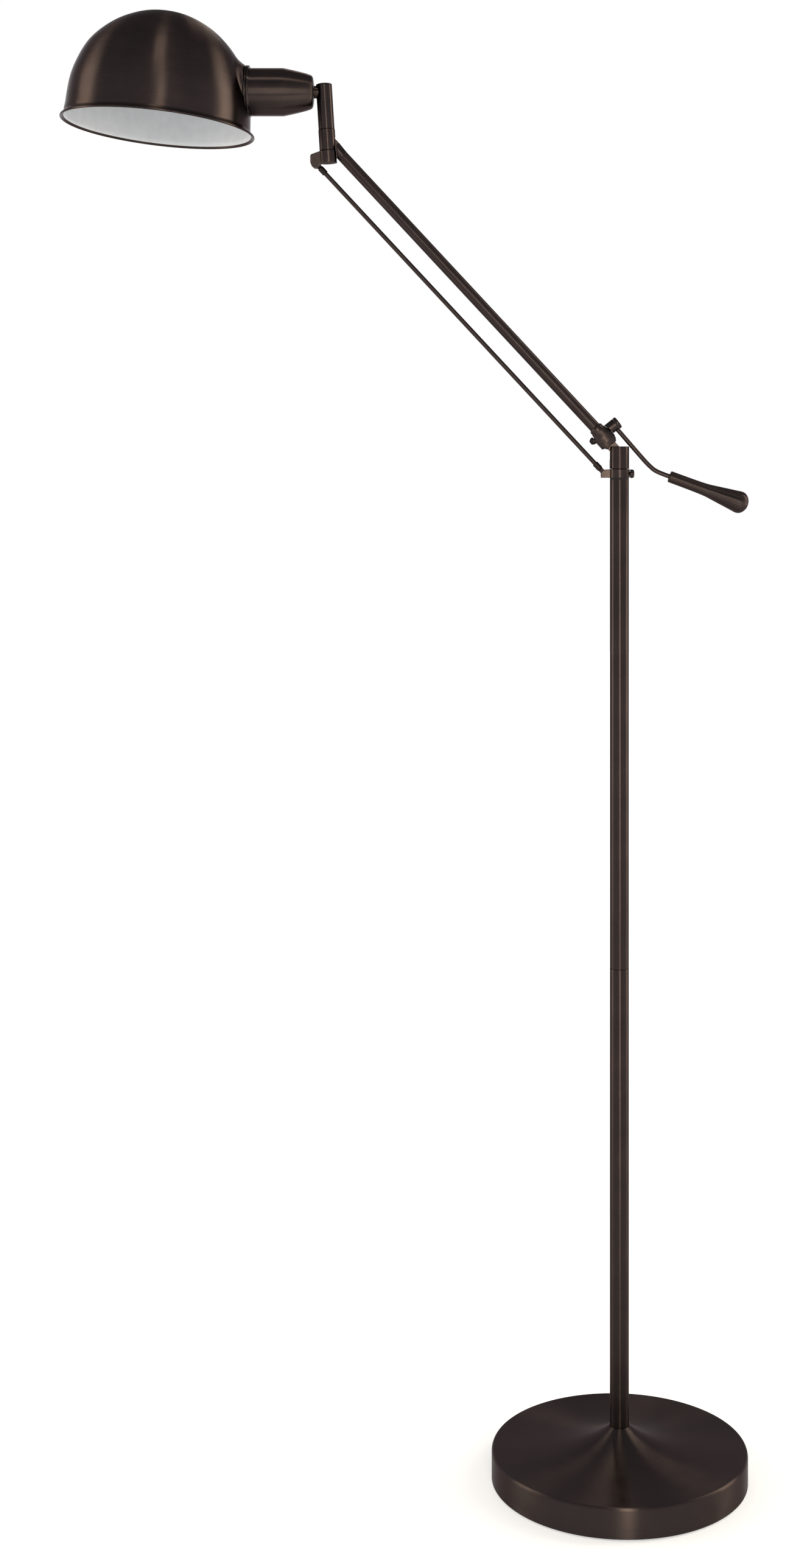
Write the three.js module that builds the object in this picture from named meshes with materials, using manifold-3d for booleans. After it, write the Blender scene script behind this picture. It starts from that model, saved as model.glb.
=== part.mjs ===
// Adjustable pharmacy floor lamp: a weighted round base, a two-piece pole, a
// swivelling elbow, a parallel-link arm with a steering handle, and a domed
// metal shade on a side swivel. Millimetres, +Z up, origin at the centre of
// the base on the floor. The arm points towards -X and lies in the plane Y = 0.

import * as THREE from 'three';
import { mergeVertices } from 'three/addons/utils/BufferGeometryUtils.js';
import Module from 'manifold-3d';

const wasm = await Module();
wasm.setup();

// ---------------------------------------------------------------- dimensions
const GAP = 0.3;                    // clearance between touching pieces

const BASE_R = 127.5;               // base cover, outer radius
const BASE_RIM_Z = 30.6;            // top of the side wall
const FLARE_TOP_Z = 53.0;           // where the trumpet flare meets the pole
const FLARE_TOP_R = 10.4;
const COVER_T = 1.6;                // cover wall
const PAD_T = 2.0;                  // base pad thickness

const POLE_R = 9.525;               // 3/4 inch tube
const POLE_WALL = 1.5;
const SEAM_Z = 509.2;               // joint between the two pole sections
const POLE_TOP_Z = 996.8;

const SLEEVE_R = 9.8;               // elbow swivel sleeve
const SLEEVE_TOP_Z = 1029.8;
const COLLAR_R = 10.4;
const COLLAR_Z0 = 998.5, COLLAR_Z1 = 1007.2;

const ELBOW_Z = 1022.56;            // elbow pin A, on the pole axis
const ARM_ANGLE = 132.92;           // arm direction above +X at rest, degrees
const ARM_L = 421.9;                // pin A to pin B
const ARM_R = 5.7;                  // arm tube
const ARM_WALL = 0.8;
const LINK_DX = -15.2, LINK_DZ = -19.56; // pin C from pin A, pin D from pin B
const LINK_R = 2.2;                 // link rod
const PIN_R = 1.5;

const HEAD_LEAN = 3.5;              // lean of the head post, degrees
const POST_R = 8.3, STEM_R = 8.0, POST_OFFSET = 4.04; // pin B beside the post axis

const CUP_AXIS_Z = 1383.4;
const CUP_R = 23.85;
const STUB_R = 6.3;

const SHADE_X = -461.1, SHADE_Y = -0.3, SHADE_Z = 1346.6; // centre of the rim
const SHADE_TILT = 5.48;            // about Y, right side low, degrees
const SHADE_ROLL = -3.14;           // about X, opening towards -Y, degrees
const SHADE_WALL = 1.3;

const LEVER_R = 2.25;
const HANDLE_X = 49.9, HANDLE_Z = 999.8, HANDLE_DROP = 20.3;

const rad = THREE.MathUtils.degToRad;
const A = new THREE.Vector3(0, 0, ELBOW_Z);
const armDir = new THREE.Vector3(Math.cos(rad(ARM_ANGLE)), 0, Math.sin(rad(ARM_ANGLE)));
const B = A.clone().addScaledVector(armDir, ARM_L);
const C = new THREE.Vector3(A.x + LINK_DX, 0, A.z + LINK_DZ);
const D = new THREE.Vector3(B.x + LINK_DX, 0, B.z + LINK_DZ);

// ----------------------------------------------------------------- materials
const metal = (color, roughness, metalness = 0.9) => new THREE.MeshStandardMaterial({ color, roughness, metalness });
const bronze = metal(0x332824, 0.36);
const bronzeDark = metal(0x241c1a, 0.45);
const steel = metal(0x8d8f92, 0.4);
const brass = metal(0xa98a4a, 0.35);
const iron = metal(0x3a3b3d, 0.8, 0.4);
const felt = metal(0x1d1c1c, 0.95, 0.0);
const nylon = metal(0x2a2727, 0.6, 0.0);
const lead = metal(0x1a1a1b, 0.7, 0.0);
const holder = metal(0x17171a, 0.5, 0.0);
const glass = new THREE.MeshStandardMaterial({ color: 0xf2efe6, roughness: 0.2, metalness: 0.0 });
const shadeMat = metal(0x332824, 0.36);

// ------------------------------------------------------------------- helpers
// A closed solid from any closed geometry, with its faces turned outwards.
function solid(geometry) {
  const g = geometry.clone();
  for (const name of Object.keys(g.attributes)) if (name !== 'position') g.deleteAttribute(name);
  const m = mergeVertices(g, 1e-4);
  const p = m.attributes.position.array;
  const ix = m.index.array;
  let tri = [];
  let volume = 0;
  for (let i = 0; i < ix.length; i += 3) {
    const [a, b, c] = [ix[i], ix[i + 1], ix[i + 2]];
    if (a === b || b === c || c === a) continue;
    tri.push(a, b, c);
    const [ax, ay, az] = [p[3 * a], p[3 * a + 1], p[3 * a + 2]];
    const [bx, by, bz] = [p[3 * b], p[3 * b + 1], p[3 * b + 2]];
    const [cx, cy, cz] = [p[3 * c], p[3 * c + 1], p[3 * c + 2]];
    volume += ax * (by * cz - bz * cy) - ay * (bx * cz - bz * cx) + az * (bx * cy - by * cx);
  }
  if (volume < 0) for (let i = 0; i < tri.length; i += 3) [tri[i + 1], tri[i + 2]] = [tri[i + 2], tri[i + 1]];
  return new wasm.Manifold(new wasm.Mesh({ numProp: 3, vertProperties: Float32Array.from(p), triVerts: Uint32Array.from(tri) }));
}
function fromSolid(man) {
  const mesh = man.getMesh();
  const g = new THREE.BufferGeometry();
  g.setAttribute('position', new THREE.BufferAttribute(Float32Array.from(mesh.vertProperties), 3));
  g.setIndex(new THREE.BufferAttribute(Uint32Array.from(mesh.triVerts), 1));
  g.computeVertexNormals();
  return g;
}
const join = (...parts) => fromSolid(parts.map(solid).reduce((a, b) => a.add(b)));
const cut = (body, ...tools) => fromSolid(tools.map(solid).reduce((a, b) => a.subtract(b), solid(body)));
const common = (a, b) => fromSolid(solid(a).intersect(solid(b)));
const closed = (g) => fromSolid(solid(g));

// Turned about Z from [radius, z] points; the profile starts and ends on the
// axis or repeats its first point.
function turned(profile, n = 32) {
  const g = new THREE.LatheGeometry(profile.map(([r, z]) => new THREE.Vector2(r, z)), n);
  return g.rotateX(Math.PI / 2);
}
const turnedX = (profile, n = 32) => turned(profile, n).rotateY(Math.PI / 2);   // z becomes +X
const rod = (r, z0, z1, n = 32) => turned([[0, z0], [r, z0], [r, z1], [0, z1]], n);
const pipe = (ri, ro, z0, z1, n = 32) => turned([[ri, z0], [ro, z0], [ro, z1], [ri, z1], [ri, z0]], n);
const rodX = (r, x0, x1, y = 0, z = 0, n = 24) => rod(r, x0, x1, n).rotateY(Math.PI / 2).translate(0, y, z);
const rodY = (r, y0, y1, x = 0, z = 0, n = 24) => rod(r, y0, y1, n).rotateX(-Math.PI / 2).translate(x, 0, z);
const box = (x0, x1, y0, y1, z0, z1) =>
  new THREE.BoxGeometry(x1 - x0, y1 - y0, z1 - z0).translate((x0 + x1) / 2, (y0 + y1) / 2, (z0 + z1) / 2);
// A flat plate: its outline in X and Z, its thickness from y0 to y1.
function plate(outline, y0, y1) {
  const shape = new THREE.Shape(outline.map(([x, z]) => new THREE.Vector2(x, z)));
  return new THREE.ExtrudeGeometry(shape, { depth: y1 - y0, bevelEnabled: false })
    .rotateX(Math.PI / 2).translate(0, y1, 0);
}
function hexagon(af, z0, z1) {
  const g = new THREE.CylinderGeometry(af / Math.sqrt(3), af / Math.sqrt(3), z1 - z0, 6);
  return g.rotateX(Math.PI / 2).translate(0, 0, (z0 + z1) / 2);
}
// A round bar along a curve through the points [x, z] in the plane Y = 0.
function bentRod(points, r, steps, sides = 16) {
  const shape = new THREE.Shape();
  for (let i = 0; i < sides; i++) {
    const a = (2 * Math.PI * i) / sides;
    if (i) shape.lineTo(r * Math.cos(a), r * Math.sin(a)); else shape.moveTo(r, 0);
  }
  const path = new THREE.CatmullRomCurve3(points.map(([x, z]) => new THREE.Vector3(x, 0, z)), false, 'centripetal');
  return new THREE.ExtrudeGeometry(shape, { steps, bevelEnabled: false, extrudePath: path });
}
const lamp = new THREE.Group();
function piece(group, name, geometry, material) {
  const mesh = new THREE.Mesh(geometry, material);
  mesh.name = name;
  group.add(mesh);
  return mesh;
}

// ---------------------------------------------------------------------- base
piece(lamp, 'base_pad', closed(rod(123.6, 0, PAD_T, 48)), felt);

const wireGroove = box(-4, 4, 6, 130, 1, 10.5);
piece(lamp, 'base_weight', cut(
  turned([[7.0, 12.6], [18.0, 12.6], [18.0, 2.4], [121.6, 2.4], [123.4, 4.2], [123.4, 18.5], [121.6, 20.3], [7.0, 20.3], [7.0, 12.6]], 40),
  wireGroove), iron);

const flare = [];
for (const r of [125.9, 104, 82, 62, 46, 33, 24, 17.5, 13, FLARE_TOP_R]) {
  const t = (125.9 - r) / (125.9 - FLARE_TOP_R);
  flare.push([r, BASE_RIM_Z + (FLARE_TOP_Z - BASE_RIM_Z) * (0.25 * t ** 2 + 0.75 * t ** 4.6)]);
}
const flareInner = [9, 7, 5, 4, 2].map((i) => [flare[i][0], flare[i][1] - COVER_T]);
flareInner[0] = [7.2, FLARE_TOP_Z - 4.0];
flareInner[1] = [14.5, flareInner[1][1] - 1.2];
const coverProfile = [
  [BASE_R - COVER_T, 1.0], [BASE_R, 1.0], [BASE_R, BASE_RIM_Z - 3.1], [BASE_R - 0.45, BASE_RIM_Z - 1.3], [BASE_R - 1.6 + 0.35, BASE_RIM_Z - 0.35],
  ...flare, [7.2, FLARE_TOP_Z], ...flareInner,
  [BASE_R - COVER_T - 1.5, BASE_RIM_Z - COVER_T], [BASE_R - COVER_T, BASE_RIM_Z - 3.4], [BASE_R - COVER_T, 1.0]];
piece(lamp, 'base_cover', cut(turned(coverProfile, 44), rodY(4.6, 118, 132, 0, 8.5, 12)), bronze);

// Rubber bush where the supply lead enters, in the back wall of the base.
piece(lamp, 'lead_bush', cut(join(rodY(4.2, 124.2, 129.6, 0, 8.5, 20), rodY(6.0, 127.8, 129.6, 0, 8.5, 20), rodY(5.6, 124.0, 125.5, 0, 8.5, 20)),
  rodY(2.9, 120, 133, 0, 8.5, 16)), nylon);

piece(lamp, 'base_washer', closed(pipe(6.7, 15.5, 10.4, 12.3, 24)), steel);
piece(lamp, 'base_nut', cut(hexagon(20, 3.4, 10.1), rod(6.65, 0, 14, 20)), steel);
piece(lamp, 'foot_nipple', closed(pipe(4.0, 6.3, 3.2, 74, 20)), steel);

// ---------------------------------------------------------------------- pole
piece(lamp, 'foot_insert', closed(pipe(6.65, POLE_R - POLE_WALL - GAP, FLARE_TOP_Z + 0.6, 76, 24)), steel);
piece(lamp, 'lower_pole', closed(pipe(POLE_R - POLE_WALL, POLE_R, FLARE_TOP_Z + GAP, SEAM_Z - 0.15)), bronze);
piece(lamp, 'pole_coupler', closed(pipe(4.6, POLE_R - POLE_WALL - GAP, SEAM_Z - 30, SEAM_Z + 30, 24)), steel);
piece(lamp, 'upper_pole', closed(pipe(POLE_R - POLE_WALL, POLE_R, SEAM_Z + 0.15, POLE_TOP_Z)), bronze);
piece(lamp, 'pole_lead', closed(rod(2.8, 24, 1004, 10)), lead);
piece(lamp, 'pole_spigot', closed(turned([[3.2, 974], [POLE_R - POLE_WALL - GAP, 974], [POLE_R - POLE_WALL - GAP, POLE_TOP_Z - 0.2],
  [5.8, POLE_TOP_Z - 0.2], [5.8, 1011.6], [5.2, 1012.2], [3.2, 1012.2], [3.2, 974]], 24)), steel);
piece(lamp, 'swivel_washer', closed(pipe(6.1, 9.4, POLE_TOP_Z + GAP, COLLAR_Z0 - GAP, 28)), nylon);

// ------------------------------------------------------------ elbow, swivels
// Slot for the arm tongue: open at the top and on the arm side.
const slotHalf = 2.95;
const sleeveSlot = join(
  rodY(6.1, -slotHalf, slotHalf, A.x, A.z, 32),
  plate([[A.x - 20, A.z - 6.1], [A.x, A.z - 6.1], [A.x + 6.1, A.z], [A.x + 6.1, A.z + 20], [A.x - 20, A.z + 20]], -slotHalf, slotHalf));
piece(lamp, 'swivel_sleeve', cut(
  turned([[0, COLLAR_Z0], [8.0, COLLAR_Z0], [8.0, COLLAR_Z1 + GAP], [SLEEVE_R, COLLAR_Z1 + GAP], [SLEEVE_R, SLEEVE_TOP_Z - 0.7],
    [SLEEVE_R - 0.7, SLEEVE_TOP_Z], [0, SLEEVE_TOP_Z]], 36),
  rod(6.1, COLLAR_Z0 - 1, 1013, 24), rod(2.4, 1010, 1020, 12), sleeveSlot,
  rodY(PIN_R + GAP, -12, 12, A.x, A.z, 20)), bronze);
piece(lamp, 'elbow_pin', closed(rodY(PIN_R, -9.3, 9.3, A.x, A.z, 20)), steel);

// Collar with a forked ear for the link rod and a clamp screw opposite.
const earOutline = [[-7, 998.5], [-18.3, 998.5], [-18.6, 1001.8], [-17.9, 1004.8], [-15.6, 1006.4], [-12.8, 1006.8], [-7, 1006.8]];
piece(lamp, 'pole_collar', cut(
  join(pipe(8.3, COLLAR_R, COLLAR_Z0, COLLAR_Z1, 32),
    cut(plate(earOutline, -4.6, 4.6), rod(9.2, 990, 1012, 32))),
  box(-30, -10.9, -1.95, 1.95, 990, 1012), box(-30, -13.2, -3.4, 3.4, 1005.2, 1012),
  rodY(1.3 + GAP, -8, 8, C.x, C.z, 16), rodX(2.3, 5, 14, 0, 1002.5, 16)), bronze);
piece(lamp, 'link_pin_lower', closed(rodY(1.3, -4.4, 4.4, C.x, C.z, 16)), steel);
piece(lamp, 'collar_screw', closed(turnedX([[0, 8.3], [1.9, 8.3], [1.9, 10.8], [4.1, 10.8], [4.35, 11.2], [4.35, 12.9], [3.9, 14.2], [2.4, 14.8], [0, 14.9]], 24)
  .translate(0, 0, 1002.5)), bronze);

// ----------------------------------------------------------------------- arm
// Local frame: origin at pin A, +X along the arm, -Z on the upper side.
const arm = new THREE.Group();
arm.position.copy(A);
arm.rotation.y = -rad(ARM_ANGLE);
lamp.add(arm);
const up = (outline) => outline.map(([t, w]) => [t, -w]);   // w is measured upwards from the arm axis

piece(arm, 'arm_tube', closed(turnedX([[ARM_R - ARM_WALL, 36.6], [ARM_R, 36.6], [ARM_R, ARM_L - 17.2], [ARM_R - ARM_WALL, ARM_L - 17.2], [ARM_R - ARM_WALL, 36.6]], 28)), bronze);

// Knuckle: plug, shoulder and forged body, with the flat tongue in the sleeve.
const CROSS_T = 25.93, CROSS_TILT = 5.9;                    // cross bolt, tilted from square
const crossMatrix = (g) => g.rotateY(-rad(180 - CROSS_TILT)).translate(CROSS_T, 0, 0); // +Z of a turned part points up the boss
const bodyOutline = up([[33.5, -6.6], [31.6, -7.5], [27.0, -8.2], [24.2, -9.8], [14.4, -9.8], [13.6, -7.4], [10.2, -5.4],
  [10.2, 4.8], [13.9, 8.0], [17.8, 9.4], [24, 9.4], [31.2, 7.4], [33.5, 6.6]]);
const body = common(
  plate(bodyOutline, -6.2, 6.2),
  turnedX([[0, 5], [6.4, 5], [9.2, 13], [11.2, 17], [11.6, 24], [9.6, 32], [8.6, 34], [0, 34]], 24));
const tongueLower = join(rodY(5.3, -2.5, 2.5, 0, 0, 20), box(0, 22, -2.5, 2.5, -4.75, 5.45));
piece(arm, 'arm_knuckle', cut(
  join(cut(body, rodY(12.75, -20, 20, 0, 0, 32)), tongueLower,
    turnedX([[0, 30], [7.2, 30], [7.2, 34.4], [ARM_R, 36.2], [ARM_R - ARM_WALL - GAP, 36.3], [ARM_R - ARM_WALL - GAP, 56], [0, 56]], 28)),
  rodY(PIN_R + 0.1, -10, 10, 0, 0, 20),
  crossMatrix(rod(2.35, -30, 30, 16)),
  rodX(1.9, 31, 60, 0, 0, 12)), bronze);

piece(arm, 'cross_bolt', closed(crossMatrix(rod(2.0, -10.6, 15.5, 16))), steel);
piece(arm, 'cross_nut', cut(crossMatrix(turned([[0, -14.1], [1.8, -14.1], [2.6, -13.3], [3.7, -11.3], [3.7, -8.6], [0, -8.6]], 20)),
  body, crossMatrix(rod(2.3, -11.2, 20, 16)), plate(up([[10, -10.1], [40, -8.0], [40, 10], [10, 10]]), -10, 10)), bronzeDark);
const LEVER = [[-3.4, 1048.5], [-0.85, 1045.5], [8.0, 1035.3], [16.8, 1025.1], [26.5, 1014.1], [31.4, 1009.2], [34.9, 1006.3], [38.9, 1004.1],
  [44.7, 1001.75], [50.8, 999.5], [58.0, 996.8]];
arm.updateMatrixWorld(true);
const leverHole = bentRod([[-4.0, 1049.2], ...LEVER.slice(1, 4)], LEVER_R + GAP + 0.15, 8, 12).applyMatrix4(arm.matrixWorld.clone().invert());
piece(arm, 'lever_boss', cut(crossMatrix(turned([[0, 6.0], [5.75, 6.0], [6.15, 17.7], [0, 17.7]], 28)),
  plate(up([[10, -12], [40, -12], [40, 7.0], [31.2, 7.75], [24, 9.75], [17.8, 9.75], [10, 7]]), -10, 10),
  crossMatrix(rod(2.3, -20, 15.9, 16)),
  leverHole), bronze);
piece(arm, 'boss_cap', closed(crossMatrix(turned([[0, 18.05], [5.9, 18.05], [6.25, 18.3], [6.25, 20.3], [5.6, 21.1], [0, 21.3]], 28))), bronze);

// Upper end of the arm: a plug, a short round nose cut back to clear the head
// post, and a flat tongue in the slot of the post.
const T = (t) => ARM_L - t;                                // distance from pin B
const nose = cut(
  turnedX([[0, T(24)], [ARM_R - ARM_WALL - GAP, T(24)], [ARM_R - ARM_WALL - GAP, T(16.9)], [ARM_R, T(16.8)], [6.1, T(9)], [6.5, T(4.9)], [6.5, T(0)], [0, T(0)]], 28),
  plate(up([[T(4.9), 20], [T(4.9), 3.2], [T(8.9), 0], [T(17.3), -6.8], [T(17.3), -20], [T(-10), -20], [T(-10), 20]]), -20, 20));
piece(arm, 'arm_tongue_upper', cut(
  join(nose, rodX(ARM_R - ARM_WALL - GAP, T(34), T(20), 0, 0, 24), rodY(6.3, -2.5, 2.5, T(0), 0, 20),
    plate(up([[T(16.8), -5.6], [T(16.8), 5.5], [T(6), 6.3], [T(0), 6.3], [T(0), -5.6]]), -2.5, 2.5)),
  rodY(PIN_R + 0.1, -10, 10, T(0), 0, 20), rodX(1.9, T(40), T(16), 0, 0, 12)), bronze);
piece(arm, 'arm_lead', closed(rodX(1.5, T(380), T(20), 0, 0, 8)), lead);

// Steering handle on its bent rod, in the plane of the arm.
const handle = new THREE.Group();
handle.position.set(HANDLE_X, 0, HANDLE_Z);
handle.rotation.y = rad(HANDLE_DROP);
lamp.add(handle);
piece(lamp, 'lever_rod', closed(bentRod(LEVER, LEVER_R, 22, 10)), bronze);
piece(handle, 'handle_grip', cut(turnedX([[0, 0], [5.2, 0], [5.8, 0.7], [5.95, 25], [6.15, 34], [6.5, 40.1], [7.3, 46.2], [8.15, 52.3], [9.0, 58.3], [9.85, 64.4],
  [11.15, 73.8], [10.5, 77.1], [8.6, 80.0], [4.6, 82.6], [0, 83.6]], 20),
  rodX(LEVER_R + 0.75, -5, 10.5, 0, 0.0, 16)), bronze);

// ------------------------------------------------------------------ link rod
const link = new THREE.Group();
link.position.copy(C);
link.rotation.y = -rad(ARM_ANGLE);
lamp.add(link);
piece(link, 'link_rod', closed(rodX(LINK_R, 13.9, ARM_L - 13.9, 0, 0, 16)), bronze);
const eye = (x, s) => cut(
  join(rodY(2.9, -1.5, 1.5, x, 0, 24), box(Math.min(x, x + s * 7), Math.max(x, x + s * 7), -1.5, 1.5, -2.4, 2.4),
    closed(turnedX(s > 0 ? [[0, x + 5.4], [2.4, x + 5.4], [3.0, x + 6.4], [3.0, x + 13.2], [2.4, x + 13.6], [0, x + 13.6]]
      : [[0, x - 13.6], [2.4, x - 13.6], [3.0, x - 13.2], [3.0, x - 6.4], [2.4, x - 5.4], [0, x - 5.4]], 20))),
  rodY(1.3 + 0.1, -5, 5, x, 0, 16));
piece(link, 'link_end_lower', eye(0, 1), bronzeDark);
piece(link, 'link_end_upper', eye(ARM_L, -1), bronzeDark);

// -------------------------------------------------------------- head bracket
// Local frame: origin on the post axis beside pin B, +Z up the leaning post.
const head = new THREE.Group();
const lean = rad(HEAD_LEAN);
head.position.set(B.x - POST_OFFSET * Math.cos(lean), 0, B.z - POST_OFFSET * Math.sin(lean));
head.rotation.y = -lean;
lamp.add(head);
const toHead = (v) => {
  const dx = v.x - head.position.x, dz = v.z - head.position.z;
  return [dx * Math.cos(lean) + dz * Math.sin(lean), -dx * Math.sin(lean) + dz * Math.cos(lean)];
};
const [bx, bz] = toHead(B);
const [dx, dz] = toHead(D);
const HEAD_Z0 = -18.9, HEAD_Z1 = -6.3, POST_TOP = 15.0, STEM_TOP = 60.6;

// Room for the arm tongue, from 45 degrees lower to 5 degrees higher.
const postSlot = join(rodY(7.3, -slotHalf, slotHalf, bx, bz, 24),
  ...[-5.6, 12, 29, 45.6].map((lower) => plate([[0, -6.5], [30, -6.5], [30, 7.0], [0, 7.0]], -slotHalf, slotHalf)
    .rotateY(rad(180 - ARM_ANGLE + HEAD_LEAN - lower)).translate(bx, 0, bz)));
// Room under the collar for the link rod as the arm comes down.
const linkRoom = join(...[12, 29, 45.6].map((lower) => turnedX([[0, -3.5], [3.6, -3.5], [3.6, 14.2], [2.8, 14.6], [2.8, 60], [0, 60]], 10)
  .rotateY(rad(180 - ARM_ANGLE + HEAD_LEAN - lower)).translate(dx, 0, dz)));
piece(head, 'head_post', cut(
  turned([[0, HEAD_Z0 + 0.4], [6.7, HEAD_Z0 + 0.4], [6.7, HEAD_Z1 + GAP], [POST_R, HEAD_Z1 + GAP], [POST_R, POST_TOP], [5.0, POST_TOP], [5.0, 34], [4.4, 34.8],
    [0, 34.8]], 28),
  postSlot, linkRoom, rodY(PIN_R + GAP, -12, 12, bx, bz, 20), rod(2.0, 5, 40, 12)), bronze);
piece(head, 'head_pin', closed(rodY(PIN_R, -7.0, 7.0, bx, bz, 20)), bronzeDark);
const earTop = [[-5.5, -6.6], [-8.0, -6.7], [-16.6, -9.3], [-17.6, -10.6], [-18.0, -17.4], [-17.0, -20.6], [-14.6, -22.9], [-11.6, -23.2], [-9.0, -21.4], [-7.8, -18.9], [-5.5, -18.9]];
piece(head, 'head_collar', cut(
  join(pipe(7.0, 8.75, HEAD_Z0, HEAD_Z1, 28), cut(plate(earTop, -4.9, 4.9), rod(7.6, -40, 10, 28))),
  postSlot, linkRoom, plate([[dx - 8, dz + 3.6], [dx + 3.9, dz + 3.6], [dx + 3.9, dz - 9], [dx - 8, dz - 9]], -1.95, 1.95),
  rodY(1.3 + GAP, -8, 8, dx, dz, 16)), bronze);
piece(head, 'link_pin_upper', closed(rodY(1.3, -4.7, 4.7, dx, dz, 16)), steel);

// ------------------------------------------------------------ swivelling stem
const stubZ = (CUP_AXIS_Z - head.position.z) / Math.cos(lean);
const stubMatrix = (g) => g.rotateY(lean).translate(0, 0, stubZ);    // level in spite of the lean
piece(head, 'stem_sleeve', cut(
  pipe(5.3, STEM_R, POST_TOP + GAP, STEM_TOP - 1.5, 32), stubMatrix(rodX(4.1, -20, 0, 0, 0, 20))), bronze);
piece(head, 'stem_cap', closed(turned([[0, STEM_TOP - 3.6], [5.0, STEM_TOP - 3.6], [5.0, STEM_TOP - 1.2], [STEM_R, STEM_TOP - 1.2], [STEM_R - 0.5, STEM_TOP - 0.4],
  [4.5, STEM_TOP + 0.5], [0, STEM_TOP + 0.8]], 32)), bronze);

// Hollow nipple between stem and socket cup; the cup turns about it.
const swivelX = head.position.x - Math.sin(lean) * (stubZ * Math.cos(lean)) ;
const head2 = new THREE.Group();                             // level frame on the cup axis
head2.position.set(0, 0, CUP_AXIS_Z);
lamp.add(head2);
const stemShadow = pipe(0.01, STEM_R + GAP, -60, 60, 32).rotateY(-lean).translate(swivelX, 0, 0);
piece(head2, 'swivel_nipple', cut(
  join(cut(turnedX([[0, -305.0], [STUB_R, -305.0], [STUB_R, -298], [0, -298]], 24), stemShadow),
    turnedX([[0, -318.4], [3.8, -318.4], [3.8, -298.2], [0, -298.2]], 20)),
  rodX(2.3, -320, -290, 0, 0, 12)), bronzeDark);

// ----------------------------------------------------- socket cup and fittings
piece(head2, 'socket_cup', closed(turnedX([
  [4.1, -305.4], [12.6, -305.4], [14.6, -305.9], [16.3, -306.9], [17.2, -308.4], [18.9, -313.0], [20.6, -319.0], [22.1, -325.5], [CUP_R, -335.2],
  [CUP_R, -368.4], [CUP_R - 1.5, -368.4], [CUP_R - 1.5, -336], [21.0, -329], [18.0, -315.5], [15.5, -308.2], [4.1, -307.9], [4.1, -305.4]], 28)), bronze);
piece(head2, 'nipple_nut', cut(hexagon(12, -313.2, -308.6).rotateY(Math.PI / 2), rodX(4.1, -320, -300, 0, 0, 20)), steel);
piece(head2, 'lampholder', cut(turnedX([[0, -366.0], [18.6, -366.0], [18.6, -333.0], [16.2, -326.0], [13.0, -319.0], [0, -319.0]], 28),
  rodX(13.9, -372, -338, 0, 0, 28), rodX(4.1, -330, -310, 0, 0, 16)), holder);
piece(head2, 'bulb_base', closed(turnedX([[0, -364], [13.2, -364], [13.2, -346], [9, -342.5], [4.5, -341], [0, -341]], 24)), brass);
piece(head2, 'bulb', closed(turnedX([[0, -452], [6.0, -451], [10.6, -447.6], [13.4, -442], [14.0, -435], [14.0, -384], [13.0, -372], [12.6, -364.4], [0, -364.4]], 24)), glass);

// ---------------------------------------------------------------------- shade
// Local frame of the dome: origin at the centre of the rim, +Z up its axis.
const dome = new THREE.Group();
dome.position.set(SHADE_X, SHADE_Y, SHADE_Z);
dome.rotation.order = 'YXZ';
dome.rotation.y = rad(SHADE_TILT);
dome.rotation.x = rad(SHADE_ROLL);
lamp.add(dome);
dome.updateMatrixWorld(true);
const intoDome = dome.matrixWorld.clone().invert();
const domeOuter = [[92.0, 6.5], [91.1, 16.2], [90.4, 27.5], [88.2, 44.5], [83.4, 61.6], [75.2, 78.6], [64.6, 91.6], [51.4, 102.5], [35.5, 111.4], [18, 116.8]];
const inset = (k) => [0, 2, 3, 4, 5, 6, 7, 8, 9].map((i) => domeOuter[i]).map(([r, z]) => [r - k * (0.25 + 0.75 * Math.min(1, (125 - z) / 70)), z - k * Math.max(0, (z - 30) / 88)]);
const lipOut = [[95.4, 0.2], [96.8, 0.8], [96.8, 2.0], [93.8, 4.2]];
// The spun wall isn't quite true to its rim: it is a little fuller low down and
// leans back towards -X as it rises. [height, change of radius], [height, shift].
const FULLER = [[-9, 0], [3, 0], [7, 0.9], [16, 0.95], [30, 0.6], [45, 0.15], [60, -0.6], [80, -0.9], [100, -1.0], [112, -0.8], [119, 0]];
const LEANS = [[-9, 0], [3, 0], [7, -0.6], [16, -0.65], [30, -1.2], [45, -1.8], [60, -2.2], [80, -2.5], [119, -2.6]];
const from = (table, z) => {
  const i = Math.max(1, table.findIndex(([h]) => h >= z));
  const [[h0, v0], [h1, v1]] = [table[i - 1], table[i]];
  return v0 + (v1 - v0) * (z - h0) / (h1 - h0);
};
function settle(g) {
  const p = g.attributes.position;
  for (let i = 0; i < p.count; i++) {
    const [x, y, z] = [p.getX(i), p.getY(i), p.getZ(i)];
    const r = Math.hypot(x, y);
    const k = r > 1 ? (r + from(FULLER, z) * Math.min(1, r / 30)) / r : 1;
    p.setXYZ(i, x * k + from(LEANS, z), y * k, z - 0.8 * Math.max(0, z / 118.4) ** 4);
  }
  return g;
}
const domeSolid = settle(turned([[0, 0.2], ...lipOut, ...domeOuter, [0, 118.4]], 40));
const hollow = settle(turned([[0, -5], [95.2, -5], [95.2, 0.2], [93.4, 2.2], ...inset(SHADE_WALL), [0, 118.4 - SHADE_WALL]], 40));
const neckOuter = turnedX([[0, -373.0], [26.2, -373.0], [27.6, -374.5], [28.9, -376.1], [31.3, -379.0], [33.8, -382.0], [37.0, -386], [37, -392], [0, -392]], 28)
  .translate(0, 0, CUP_AXIS_Z).applyMatrix4(intoDome);
const neckBore = rodX(23.6, -410, -366, 0, CUP_AXIS_Z, 28).applyMatrix4(intoDome);
piece(dome, 'shade', cut(join(domeSolid, neckOuter), hollow, neckBore), shadeMat);

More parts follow.
